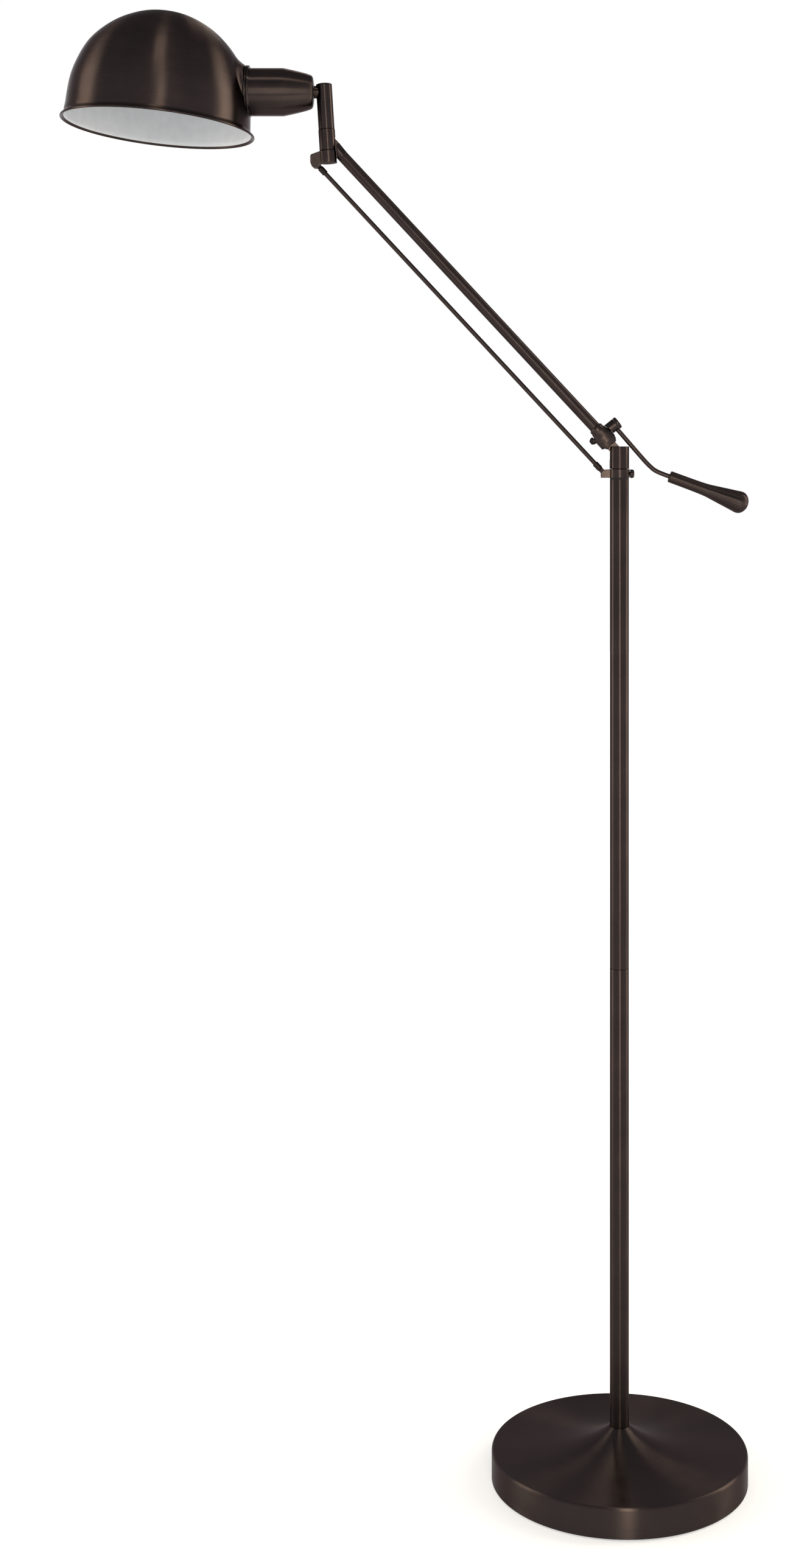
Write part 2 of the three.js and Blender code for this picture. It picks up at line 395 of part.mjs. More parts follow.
// Double-beaded ring that locks the neck of the shade to the socket cup.
const ringProfile = [[24.2, -372.6], [25.8, -372.6], [26.7, -372.0], [26.7, -371.2], [25.9, -370.7], [26.7, -370.2], [26.7, -369.4], [25.8, -368.8], [24.2, -368.8], [24.2, -372.6]];
const growDome = settle(turned([[0, -2], [98, -2], [98, 3.2], [93.4, 5.4], ...domeOuter.map(([r, z]) => [r + 0.5, z]), [0, 119]], 40))
  .applyMatrix4(dome.matrixWorld).translate(0, 0, -CUP_AXIS_Z);
piece(head2, 'neck_ring', cut(turnedX(ringProfile, 32), growDome), bronze);

export default lamp;
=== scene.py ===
import bpy
import bmesh
import math
from mathutils import Matrix, Vector


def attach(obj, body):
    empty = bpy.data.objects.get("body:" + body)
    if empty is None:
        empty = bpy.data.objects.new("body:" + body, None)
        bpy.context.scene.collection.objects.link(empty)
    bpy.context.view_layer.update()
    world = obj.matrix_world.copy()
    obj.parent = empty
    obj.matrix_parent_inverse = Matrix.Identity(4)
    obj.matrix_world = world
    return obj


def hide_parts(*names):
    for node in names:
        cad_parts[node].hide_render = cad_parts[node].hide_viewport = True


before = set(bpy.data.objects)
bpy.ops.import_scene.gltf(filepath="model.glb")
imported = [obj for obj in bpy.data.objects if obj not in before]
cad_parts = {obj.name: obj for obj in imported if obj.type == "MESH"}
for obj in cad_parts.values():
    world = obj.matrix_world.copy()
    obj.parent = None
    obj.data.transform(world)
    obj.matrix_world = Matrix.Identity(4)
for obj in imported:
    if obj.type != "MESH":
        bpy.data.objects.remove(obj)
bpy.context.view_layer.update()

SC = bpy.context.scene
MM = 0.001
I4 = Matrix.Identity(4)


# ------------------------------------------------------------------ mesh tools
# Meshes are made in millimetres in the local frame of their sub-assembly, and
# scaled to metres when they become a piece.
def raw(verts, faces):
    me = bpy.data.meshes.new("m")
    me.from_pydata([tuple(v) for v in verts], [], faces)
    me.update()
    return me


def outward(me):
    bm = bmesh.new()
    bm.from_mesh(me)
    bmesh.ops.recalc_face_normals(bm, faces=bm.faces)
    if bm.calc_volume(signed=True) < 0:
        bmesh.ops.reverse_faces(bm, faces=bm.faces)
    bm.to_mesh(me)
    bm.free()
    return me


def turned(profile, n=96, angles=None):
    """Turned about Z from [radius, z] points; ends on the axis or repeats its first point."""
    loop = tuple(profile[0]) == tuple(profile[-1])
    pts = profile[:-1] if loop else profile
    ang = angles or [2 * math.pi * k / n for k in range(n)]
    n = len(ang)
    cs = [(math.cos(a), math.sin(a)) for a in ang]
    verts, rings = [], []
    for r, z in pts:
        if abs(r) < 1e-6:
            rings.append([len(verts)])
            verts.append((0.0, 0.0, z))
        else:
            rings.append(list(range(len(verts), len(verts) + n)))
            verts += [(r * c, r * s, z) for c, s in cs]
    faces = []
    m = len(pts)
    for i in range(m if loop else m - 1):
        a, b = rings[i], rings[(i + 1) % m]
        if len(a) == 1 and len(b) == 1:
            continue
        for k in range(n):
            k2 = (k + 1) % n
            if len(a) == 1:
                faces.append((a[0], b[k2], b[k]))
            elif len(b) == 1:
                faces.append((a[k], a[k2], b[0]))
            else:
                faces.append((a[k], a[k2], b[k2], b[k]))
    return outward(raw(verts, faces))


def moved(me, m):
    me.transform(m)
    return me


RX = Matrix.Rotation(math.pi / 2, 4, "Y")      # z becomes +X
RY = Matrix.Rotation(-math.pi / 2, 4, "X")     # z becomes +Y


def at(x=0.0, y=0.0, z=0.0):
    return Matrix.Translation((x, y, z))


def turned_x(profile, n=96):
    return moved(turned(profile, n), RX)


def rod(r, z0, z1, n=64):
    return turned([(0, z0), (r, z0), (r, z1), (0, z1)], n)


def rod_x(r, x0, x1, y=0.0, z=0.0, n=64):
    return moved(rod(r, x0, x1, n), at(0, y, z) @ RX)


def rod_y(r, y0, y1, x=0.0, z=0.0, n=64):
    return moved(rod(r, y0, y1, n), at(x, 0, z) @ RY)


def pipe(ri, ro, z0, z1, n=96, f=0.25):
    return turned(soften([(ri, z0), (ro, z0), (ro, z1), (ri, z1), (ri, z0)], f), n)


def block(x0, x1, y0, y1, z0, z1):
    v = [(x, y, z) for x in (x0, x1) for y in (y0, y1) for z in (z0, z1)]
    f = [(0, 1, 3, 2), (4, 6, 7, 5), (0, 4, 5, 1), (2, 3, 7, 6), (0, 2, 6, 4), (1, 5, 7, 3)]
    return outward(raw(v, f))


def plate(outline, y0, y1):
    n = len(outline)
    v = [(x, y0, z) for x, z in outline] + [(x, y1, z) for x, z in outline]
    f = [tuple(range(n)), tuple(range(2 * n - 1, n - 1, -1))]
    f += [(i, n + i, n + (i + 1) % n, (i + 1) % n) for i in range(n)]
    me = raw(v, f)
    bm = bmesh.new()
    bm.from_mesh(me)
    bmesh.ops.triangulate(bm, faces=[x for x in bm.faces if len(x.verts) > 4])
    bm.to_mesh(me)
    bm.free()
    return outward(me)


def soften(profile, r=0.3, n=3, least=14.0):
    """Rounds each real corner of a profile with a small arc."""
    loop = tuple(profile[0]) == tuple(profile[-1])
    pts = [Vector(p) for p in (profile[:-1] if loop else profile)]
    m = len(pts)
    out = []
    for i, p in enumerate(pts):
        if not loop and i in (0, m - 1):
            out.append(tuple(p))
            continue
        a, b = pts[i - 1], pts[(i + 1) % m]
        u, v = a - p, b - p
        lu, lv = u.length, v.length
        if lu < 1e-6 or lv < 1e-6:
            out.append(tuple(p))
            continue
        turn = 180.0 - math.degrees(math.acos(max(-1.0, min(1.0, u.dot(v) / lu / lv))))
        if turn < least:
            out.append(tuple(p))
            continue
        d = min(r, 0.42 * lu, 0.42 * lv)
        s, e = p + u / lu * d, p + v / lv * d
        for k in range(n + 1):
            t = k / n
            out.append(tuple(s * (1 - t) ** 2 + p * 2 * t * (1 - t) + e * t * t))
    if loop:
        out.append(out[0])
    return out


def spline(points, k=6):
    """A smooth curve through the points, k steps a span."""
    p = [Vector(q) for q in points]
    p = [2 * p[0] - p[1]] + p + [2 * p[-1] - p[-2]]
    out = []
    for i in range(1, len(p) - 2):
        p0, p1, p2, p3 = p[i - 1 : i + 3]
        t0 = 0.0
        t1 = t0 + math.sqrt((p1 - p0).length)
        t2 = t1 + math.sqrt((p2 - p1).length)
        t3 = t2 + math.sqrt((p3 - p2).length)
        for j in range(k):
            t = t1 + (t2 - t1) * j / k
            a1 = p0 * ((t1 - t) / (t1 - t0)) + p1 * ((t - t0) / (t1 - t0))
            a2 = p1 * ((t2 - t) / (t2 - t1)) + p2 * ((t - t1) / (t2 - t1))
            a3 = p2 * ((t3 - t) / (t3 - t2)) + p3 * ((t - t2) / (t3 - t2))
            b1 = a1 * ((t2 - t) / (t2 - t0)) + a2 * ((t - t0) / (t2 - t0))
            b2 = a2 * ((t3 - t) / (t3 - t1)) + a3 * ((t - t1) / (t3 - t1))
            out.append(tuple(b1 * ((t2 - t) / (t2 - t1)) + b2 * ((t - t1) / (t2 - t1))))
    out.append(tuple(p[-2]))
    return out


def bent_rod(points, r, k=10, sides=32, cap=0.4):
    """A round bar along a smooth curve through [x, z] points in the plane Y = 0."""
    c = [Vector((x, 0, z)) for x, z in spline(points, k)]
    verts, faces, rings = [], [], []
    n = len(c)
    for i, p in enumerate(c):
        t = (c[min(i + 1, n - 1)] - c[max(i - 1, 0)]).normalized()
        side = Vector((0, 1, 0))
        up = side.cross(t)
        ring = []
        for j in range(sides):
            a = 2 * math.pi * j / sides
            ring.append(len(verts))
            verts.append(p + (side * math.cos(a) + up * math.sin(a)) * r)
        rings.append(ring)
    for a, b in zip(rings, rings[1:]):
        faces += [(a[j], a[(j + 1) % sides], b[(j + 1) % sides], b[j]) for j in range(sides)]
    faces.append(tuple(reversed(rings[0])))
    faces.append(tuple(rings[-1]))
    return outward(raw(verts, faces))


def _run(base, add):
    o = bpy.data.objects.new("work", base)
    SC.collection.objects.link(o)
    others = add(o)
    bpy.context.view_layer.update()
    dg = bpy.context.evaluated_depsgraph_get()
    me = bpy.data.meshes.new_from_object(o.evaluated_get(dg), depsgraph=dg)
    for x in [o] + others:
        bpy.data.objects.remove(x)
    return me


SOLVERS = [e.identifier for e in bpy.types.BooleanModifier.bl_rna.properties["solver"].enum_items]
SOLVER = "MANIFOLD" if "MANIFOLD" in SOLVERS else "EXACT"


def _bool(base, tools, op):
    def add(o):
        others = []
        for t in tools:
            b = bpy.data.objects.new("tool", t)
            SC.collection.objects.link(b)
            others.append(b)
            m = o.modifiers.new("b", "BOOLEAN")
            m.operation, m.object, m.solver = op, b, SOLVER
        return others

    return _run(base, add)


def cut(base, *tools):
    return _bool(base, tools, "DIFFERENCE")


def join(base, *tools):
    return _bool(base, tools, "UNION")


def common(base, tool):
    return _bool(base, [tool], "INTERSECT")


def forged(me, voxel=0.3, rounds=4):
    """Rounds every edge a little, as on a cast or forged part."""

    def add(o):
        m = o.modifiers.new("r", "REMESH")
        m.mode, m.voxel_size, m.adaptivity, m.use_smooth_shade = "VOXEL", voxel, 0.0, True
        s = o.modifiers.new("s", "SMOOTH")
        s.factor, s.iterations = 0.5, rounds
        return []

    return _run(me, add)


# ------------------------------------------------------------------- materials
def _mat(name):
    m = bpy.data.materials.new(name)
    m.use_nodes = True
    nt = m.node_tree
    nt.nodes.clear()
    out = nt.nodes.new("ShaderNodeOutputMaterial")
    p = nt.nodes.new("ShaderNodeBsdfPrincipled")
    nt.links.new(p.outputs[0], out.inputs[0])
    return m, nt, p


def _math(nt, op, a, b=None):
    n = nt.nodes.new("ShaderNodeMath")
    n.operation = op
    for i, v in enumerate((a, b)):
        if v is None:
            continue
        if isinstance(v, (int, float)):
            n.inputs[i].default_value = v
        else:
            nt.links.new(v, n.inputs[i])
    return n.outputs[0]


def _noise(nt, vector, scale, detail=2.0, rough=0.5):
    n = nt.nodes.new("ShaderNodeTexNoise")
    n.inputs["Scale"].default_value = scale
    n.inputs["Detail"].default_value = detail
    n.inputs["Roughness"].default_value = rough
    nt.links.new(vector, n.inputs["Vector"])
    return n.outputs["Fac"]


def _range(nt, v, a, b, lo, hi):
    n = nt.nodes.new("ShaderNodeMapRange")
    for i, x in enumerate((a, b, lo, hi)):
        n.inputs[i + 1].default_value = x
    nt.links.new(v, n.inputs[0])
    return n.outputs[0]


def _colour(nt, fac, a, b):
    n = nt.nodes.new("ShaderNodeMix")
    n.data_type = "RGBA"
    n.inputs[6].default_value = (*a, 1)
    n.inputs[7].default_value = (*b, 1)
    nt.links.new(fac, n.inputs[0])
    return n.outputs[2]


def _bump(nt, p, height, strength, distance):
    n = nt.nodes.new("ShaderNodeBump")
    n.inputs["Strength"].default_value = strength
    n.inputs["Distance"].default_value = distance
    nt.links.new(height, n.inputs["Height"])
    nt.links.new(n.outputs[0], p.inputs["Normal"])


DARK, WARM = (0.0310, 0.0236, 0.0232), (0.0400, 0.0300, 0.0284)


def bronze(name, axis="Z", rough=0.23, aniso=0.70, lines=1.0, dark=DARK, warm=WARM, edge=0.55):
    """Oil-rubbed bronze, finely brushed round the given local axis."""
    m, nt, p = _mat(name)
    tc = nt.nodes.new("ShaderNodeTexCoord")
    sep = nt.nodes.new("ShaderNodeSeparateXYZ")
    nt.links.new(tc.outputs["Object"], sep.inputs[0])
    x, y, z = sep.outputs
    a, b, c = {"Z": (x, y, z), "X": (y, z, x), "Y": (z, x, y)}[axis]
    rad = _math(nt, "SQRT", _math(nt, "ADD", _math(nt, "MULTIPLY", a, a), _math(nt, "MULTIPLY", b, b)))
    ang = _math(nt, "ARCTAN2", b, a)
    comb = nt.nodes.new("ShaderNodeCombineXYZ")
    nt.links.new(_math(nt, "MULTIPLY", ang, 2.2), comb.inputs[0])
    nt.links.new(_math(nt, "MULTIPLY", rad, 1900.0), comb.inputs[1])
    nt.links.new(_math(nt, "MULTIPLY", c, 1900.0), comb.inputs[2])
    grain = _noise(nt, comb.outputs[0], 1.0, 3.0, 0.6)
    cloud = _noise(nt, tc.outputs["Object"], 38.0, 4.0, 0.55)
    tone = _math(nt, "ADD", _math(nt, "MULTIPLY", grain, 0.45 * lines), _math(nt, "MULTIPLY", cloud, 1.0 - 0.45 * lines))
    nt.links.new(_colour(nt, _range(nt, tone, 0.35, 0.65, 0.0, 1.0), dark, warm), p.inputs["Base Color"])
    r = _math(nt, "ADD", _range(nt, grain, 0.3, 0.7, rough - 0.035 * lines, rough + 0.035 * lines), _range(nt, cloud, 0.3, 0.7, -0.02, 0.02))
    nt.links.new(r, p.inputs["Roughness"])
    p.inputs["Metallic"].default_value = 1.0
    p.inputs["Specular Tint"].default_value = (edge, edge * 0.95, edge * 0.96, 1)
    p.inputs["Anisotropic"].default_value = aniso
    p.inputs["Anisotropic Rotation"].default_value = 0.25
    t = nt.nodes.new("ShaderNodeTangent")
    t.direction_type, t.axis = "RADIAL", axis
    nt.links.new(t.outputs[0], p.inputs["Tangent"])
    _bump(nt, p, grain, 0.07 * lines, 0.00002)
    return m


def cast(name, rough=0.27, dark=DARK, warm=WARM, edge=0.60, metallic=1.0):
    """The same finish on small cast and forged parts, without a turning direction."""
    m, nt, p = _mat(name)
    tc = nt.nodes.new("ShaderNodeTexCoord")
    fine = _noise(nt, tc.outputs["Object"], 1400.0, 3.0, 0.6)
    cloud = _noise(nt, tc.outputs["Object"], 90.0, 4.0, 0.55)
    nt.links.new(_colour(nt, _range(nt, cloud, 0.35, 0.65, 0.0, 1.0), dark, warm), p.inputs["Base Color"])
    nt.links.new(_range(nt, fine, 0.3, 0.7, rough - 0.02, rough + 0.03), p.inputs["Roughness"])
    p.inputs["Metallic"].default_value = metallic
    p.inputs["Specular Tint"].default_value = (edge, edge * 0.95, edge * 0.96, 1)
    _bump(nt, p, fine, 0.05, 0.00003)
    return m


def plain(name, a, b, scale, rough, metallic=0.0, grain=0.2, depth=0.0001, spread=0.06):
    """Any other solid material: two close tones, a rough grain and a fine bump."""
    m, nt, p = _mat(name)
    tc = nt.nodes.new("ShaderNodeTexCoord")
    fine = _noise(nt, tc.outputs["Object"], scale, 4.0, 0.6)
    wide = _noise(nt, tc.outputs["Object"], scale / 14.0, 3.0, 0.5)
    nt.links.new(_colour(nt, _range(nt, wide, 0.35, 0.65, 0.0, 1.0), a, b), p.inputs["Base Color"])
    nt.links.new(_range(nt, fine, 0.3, 0.7, rough - spread, rough + spread), p.inputs["Roughness"])
    p.inputs["Metallic"].default_value = metallic
    _bump(nt, p, fine, grain, depth)
    return m


M_Z = bronze("bronze_turned_z", "Z", rough=0.31, aniso=0.96, lines=0.3)
M_X = bronze("bronze_turned_x", "X", rough=0.31, aniso=0.96, lines=0.3)
# painted light: the base's bronze is the same bronze with both tones made about 12% lighter, so the cover's
# upward-facing top reads as more brightly lit
M_BASE_PAINTED_LIT = bronze("bronze_base_painted_lighter", "Z", rough=0.33, aniso=0.97, dark=(0.0350, 0.0272, 0.0268), warm=(0.0445, 0.0342, 0.0325))
M_SHADE = bronze("bronze_shade", "Z", rough=0.31, aniso=0.96)
M_CAST = cast("bronze_cast")
M_DARK = cast("bronze_dark", rough=0.42, dark=(0.020, 0.0155, 0.0150), warm=(0.028, 0.0215, 0.0205))
M_WHITE = plain("shade_enamel", (0.425, 0.445, 0.475), (0.455, 0.475, 0.505), 1500.0, 0.62, grain=0.35, depth=0.00005)
M_STEEL = plain("zinc_steel", (0.40, 0.40, 0.41), (0.50, 0.50, 0.50), 900.0, 0.34, metallic=1.0)
M_BRASS = plain("brass", (0.52, 0.36, 0.13), (0.60, 0.43, 0.18), 700.0, 0.3, metallic=1.0)
M_IRON = plain("cast_iron", (0.030, 0.030, 0.032), (0.055, 0.055, 0.058), 500.0, 0.75, metallic=0.5, grain=0.6)
M_PAD = plain("pad_felt", (0.010, 0.010, 0.010), (0.020, 0.019, 0.019), 2500.0, 0.93, grain=0.7, depth=0.0002)
M_NYLON = plain("nylon", (0.012, 0.010, 0.010), (0.018, 0.015, 0.015), 800.0, 0.6)
M_NYLON.node_tree.nodes["Principled BSDF"].inputs["Specular IOR Level"].default_value = 0.12
M_LEAD = plain("lead_jacket", (0.010, 0.010, 0.011), (0.016, 0.016, 0.017), 900.0, 0.6)
M_HOLDER = plain("holder_phenolic", (0.009, 0.009, 0.010), (0.014, 0.014, 0.015), 700.0, 0.4)
M_BULB = plain("bulb_opal", (0.80, 0.79, 0.76), (0.86, 0.85, 0.82), 400.0, 0.22, grain=0.05)


# ---------------------------------------------------------------------- pieces
def piece(name, me, body, nodes, mats, place=I4, angle=32.0):
    me.transform(Matrix.Scale(MM, 4))
    me.polygons.foreach_set("use_smooth", [True] * len(me.polygons))
    me.set_sharp_from_angle(angle=math.radians(angle))
    several = isinstance(mats, (list, tuple))
    which = [p.material_index for p in me.polygons] if several else [0] * len(me.polygons)
    me.materials.clear()
    for m in mats if several else [mats]:
        me.materials.append(m)
    me.polygons.foreach_set("material_index", which)
    me.name = name
    o = bpy.data.objects.new(name, me)
    SC.collection.objects.link(o)
    o.matrix_world = place
    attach(o, body)
    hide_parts(*nodes)
    return o


def spot(x, y, z, rot=I4):
    """A local frame: its origin in millimetres and its turn."""
    return Matrix.Translation((x * MM, y * MM, z * MM)) @ rot


# dimensions, as in the CAD
BASE_R, RIM_Z, FLARE_Z, FLARE_R, COVER_T = 127.5, 30.6, 53.0, 10.4, 1.6
POLE_R, POLE_WALL, SEAM_Z, POLE_TOP = 9.525, 1.5, 509.2, 996.8
SLEEVE_R, SLEEVE_TOP, COLLAR_R, COL0, COL1 = 9.8, 1029.8, 10.4, 998.5, 1007.2
AX, AZ = 0.0, 1022.56
ARM_ANGLE, ARM_L, ARM_R, ARM_WALL = 132.92, 421.9, 5.7, 0.8
LINK_DX, LINK_DZ, LINK_R, PIN_R, GAP = -15.2, -19.56, 2.2, 1.5, 0.3
LEAN, POST_R, STEM_R, POST_OFFSET = 3.5, 8.3, 8.0, 4.04
CUP_Z, CUP_R, STUB_R = 1383.4, 23.85, 6.3
SHADE_X, SHADE_Y, SHADE_Z, TILT, ROLL, WALL = -461.1, -0.3, 1346.6, 5.48, -3.14, 1.3
LEVER_R, HANDLE_X, HANDLE_Z, DROP = 2.25, 49.9, 999.8, 20.3


def rad(d):
    return math.radians(d)


def ry(d):
    return Matrix.Rotation(rad(d), 4, "Y")


CA, SA = math.cos(rad(ARM_ANGLE)), math.sin(rad(ARM_ANGLE))
BX, BZ = AX + CA * ARM_L, AZ + SA * ARM_L
CX, CZ = AX + LINK_DX, AZ + LINK_DZ
DX, DZ = BX + LINK_DX, BZ + LINK_DZ
ARM = spot(AX, 0, AZ, ry(-ARM_ANGLE))
LINK = spot(CX, 0, CZ, ry(-ARM_ANGLE))
HX, HZ = BX - POST_OFFSET * math.cos(rad(LEAN)), BZ - POST_OFFSET * math.sin(rad(LEAN))
HEAD = spot(HX, 0, HZ, ry(-LEAN))
CUP = spot(0, 0, CUP_Z)

# base cover, with its trumpet flare running up into the pole
flare = []
for i in range(72):
    t = (i / 71.0) ** 0.72
    flare.append((125.9 - (125.9 - FLARE_R) * t, RIM_Z + (FLARE_Z - RIM_Z) * (0.25 * t**2 + 0.75 * t**4.6)))
shoulder = [(BASE_R, 27.2), (127.40, 28.1), (127.1, 29.0), (126.72, 29.75), (126.3, 30.27), flare[0]]
inner = [(7.2, FLARE_Z), (7.2, FLARE_Z - 4.0), (14.5, 37.6), (24, 33.2), (46, 31.0), (82, 29.8), (123.0, RIM_Z - COVER_T), (BASE_R - COVER_T, 27.0)]
cover = [(BASE_R - COVER_T, 1.0), (BASE_R - 0.3, 1.0), (BASE_R, 1.3)] + shoulder + flare[1:-1] + [(FLARE_R, FLARE_Z - 0.25), (FLARE_R - 0.25, FLARE_Z)] + inner
cover.append(cover[0])
# the cover takes the base bronze, whose colour is painted lighter as painted light on its top
piece("base_cover_vis", cut(turned(cover, 256), rod_y(4.6, 118, 132, 0, 8.5)), "stand", ["base_cover"], M_BASE_PAINTED_LIT)
bush = join(rod_y(4.2, 124.2, 129.6, 0, 8.5), rod_y(6.0, 127.8, 129.6, 0, 8.5), rod_y(5.6, 124.0, 125.5, 0, 8.5))
piece("lead_bush_vis", forged(cut(bush, rod_y(2.9, 120, 133, 0, 8.5)), 0.2, 3), "stand", ["lead_bush"], M_NYLON)

# pole, in two lengths
piece("lower_pole_vis", pipe(POLE_R - POLE_WALL, POLE_R, FLARE_Z + GAP, SEAM_Z - 0.15, 128, 0.35), "stand", ["lower_pole"], M_Z)
piece("upper_pole_vis", pipe(POLE_R - POLE_WALL, POLE_R, SEAM_Z + 0.15, POLE_TOP, 128, 0.35), "stand", ["upper_pole"], M_Z)
piece("swivel_washer_vis", pipe(6.1, 9.5, POLE_TOP + 0.03, COL0 - 0.06, 96, 0.15), "stand", ["swivel_washer"], M_NYLON)

# swivel sleeve with the slot for the arm tongue
SH = 2.95
slot_tool = join(
    rod_y(6.1, -SH, SH, AX, AZ),
    plate([(AX - 20, AZ - 6.1), (AX, AZ - 6.1), (AX + 6.1, AZ), (AX + 6.1, AZ + 20), (AX - 20, AZ + 20)], -SH, SH),
)
sleeve = turned(
    [(0, COL0), (8.0, COL0), (8.0, COL1 + GAP)]
    + [(SLEEVE_R - 0.3, COL1 + GAP), (SLEEVE_R, COL1 + GAP + 0.3)]
    + [(SLEEVE_R, SLEEVE_TOP - 0.9), (SLEEVE_R - 0.12, SLEEVE_TOP - 0.45), (SLEEVE_R - 0.45, SLEEVE_TOP - 0.12), (SLEEVE_R - 0.9, SLEEVE_TOP), (0, SLEEVE_TOP)],
    128,
)
sleeve = cut(sleeve, rod(6.1, COL0 - 1, 1013), rod(2.4, 1010, 1020), slot_tool, rod_y(PIN_R + GAP, -7.4, 7.4, AX, AZ))
piece("swivel_sleeve_vis", sleeve, "elbow", ["swivel_sleeve"], M_Z)
piece("elbow_pin_vis", moved(turned(soften([(0, -7.1), (PIN_R, -7.1), (PIN_R, 7.1), (0, 7.1)], 0.3), 48), at(AX, 0, AZ) @ RY), "elbow", ["elbow_pin"], M_DARK)

# collar with its forked ear and the clamp screw
ear = [(-7, 998.5), (-18.3, 998.5), (-18.6, 1001.8), (-17.9, 1004.8), (-15.6, 1006.4), (-12.8, 1006.8), (-7, 1006.8)]
collar = join(pipe(8.3, COLLAR_R, COL0, COL1, 128, 0.4), cut(plate(ear, -4.6, 4.6), rod(9.2, 990, 1012)))
collar = cut(
    collar, block(-30, -10.9, -1.95, 1.95, 990, 1012), block(-30, -13.2, -3.4, 3.4, 1005.2, 1012),
    rod_y(1.3 + GAP, -3.6, 3.6, CX, CZ), rod_x(2.3, 5, 14, 0, 1002.5),
)
piece("pole_collar_vis", forged(collar, 0.22, 3), "elbow", ["pole_collar"], M_CAST)
piece("link_pin_lower_vis", moved(turned(soften([(0, -3.4), (1.3, -3.4), (1.3, 3.4), (0, 3.4)], 0.3), 40), at(CX, 0, CZ) @ RY), "elbow", ["link_pin_lower"], M_DARK)
screw = [(0, 8.3), (1.9, 8.3), (1.9, 10.8), (4.1, 10.8), (4.35, 11.2), (4.35, 12.9), (3.9, 14.2), (2.4, 14.8), (0, 14.9)]
piece("collar_screw_vis", turned_x(soften(screw, 0.3), 64), "clamp_screw", ["collar_screw"], M_X, spot(0, 0, 1002.5))

# arm
piece(
    "arm_tube_vis",
    turned_x(soften([(ARM_R - ARM_WALL, 36.25), (ARM_R, 36.25), (ARM_R, ARM_L - 16.9), (ARM_R - ARM_WALL, ARM_L - 16.9), (ARM_R - ARM_WALL, 36.25)], 0.08), 96),
    "arm", ["arm_tube"], M_X, ARM,
)


def up(outline):
    return [(t, -w) for t, w in outline]


CROSS_T, CROSS_TILT = 25.93, 5.9
CROSS = at(CROSS_T, 0, 0) @ ry(-(180 - CROSS_TILT))
body_out = up([(33.5, -6.6), (31.6, -7.5), (27.0, -8.2), (24.2, -9.8), (14.4, -9.8), (13.6, -7.4), (10.2, -5.4),
               (10.2, 4.8), (13.9, 8.0), (17.8, 9.4), (24, 9.4), (31.2, 7.4), (33.5, 6.6)])


def knuckle_body():
    barrel = turned_x([(0, 5), (6.4, 5), (9.2, 13), (11.2, 17), (11.6, 24), (9.6, 32), (8.6, 34), (0, 34)], 96)
    return common(plate(body_out, -6.2, 6.2), moved(barrel, Matrix.Diagonal((1.0, 0.53, 1.0, 1.0))))


forging = cut(knuckle_body(), rod_y(12.75, -20, 20, 0, 0, 96))
tongue = join(rod_y(5.3, -2.5, 2.5, 0, 0), block(0, 22, -2.5, 2.5, -4.75, 5.45))
shoulder_x = turned_x([(0, 30), (7.2, 30), (7.2, 34.4), (ARM_R, 36.2), (ARM_R - ARM_WALL - GAP, 36.3), (ARM_R - ARM_WALL - GAP, 56), (0, 56)], 96)
knuckle = cut(
    join(forging, tongue, shoulder_x),
    rod_y(PIN_R + 0.1, -10, 10, 0, 0), moved(rod(2.35, -30, 30), CROSS), rod_x(1.9, 31, 60),
)
piece("arm_knuckle_vis", forged(knuckle, 0.24, 4), "arm", ["arm_knuckle"], M_CAST, ARM)
piece("cross_bolt_vis", moved(turned(soften([(0, -10.6), (2.0, -10.6), (2.0, 15.5), (0, 15.5)], 0.3), 48), CROSS), "arm", ["cross_bolt"], M_DARK, ARM)
nut = cut(
    moved(turned(soften([(0, -14.1), (1.8, -14.1), (2.6, -13.3), (3.7, -11.3), (3.7, -8.6), (0, -8.6)], 0.5), 64), CROSS),
    knuckle_body(), moved(rod(2.3, -11.2, 20), CROSS), plate(up([(10, -10.1), (40, -8.0), (40, 10), (10, 10)]), -10, 10),
)
piece("cross_nut_vis", nut, "arm", ["cross_nut"], M_DARK, ARM)

LEVER = [(-3.4, 1048.5), (-0.85, 1045.5), (8.0, 1035.3), (16.8, 1025.1), (26.5, 1014.1), (31.4, 1009.2), (34.9, 1006.3), (38.9, 1004.1),
         (44.7, 1001.75), (50.8, 999.5), (58.0, 996.8)]
TO_ARM = (at(AX, 0, AZ) @ ry(-ARM_ANGLE)).inverted()
lever_hole = moved(bent_rod([(-4.0, 1049.2)] + LEVER[1:4], LEVER_R + GAP + 0.1, 6, 32), TO_ARM)
boss_blank = moved(turned([(0, 6.0), (5.75, 6.0), (6.15, 17.45), (6.05, 17.62), (5.85, 17.7), (0, 17.7)], 96), CROSS)
boss = cut(
    boss_blank,
    plate(up([(10, -12), (40, -12), (40, 7.0), (31.2, 7.75), (24, 9.75), (17.8, 9.75), (10, 7)]), -10, 10),
    moved(rod(2.3, -20, 15.9), CROSS), lever_hole,
)
piece("lever_boss_vis", boss, "arm", ["lever_boss"], M_CAST, ARM)
cap = [(0, 18.05), (5.9, 18.05), (6.15, 18.12), (6.25, 18.35), (6.25, 20.1), (6.1, 20.6), (5.6, 21.0), (4.6, 21.2), (0, 21.3)]
piece("boss_cap_vis", moved(turned(cap, 96), CROSS), "arm", ["boss_cap"], M_CAST, ARM)


def T(t):
    return ARM_L - t


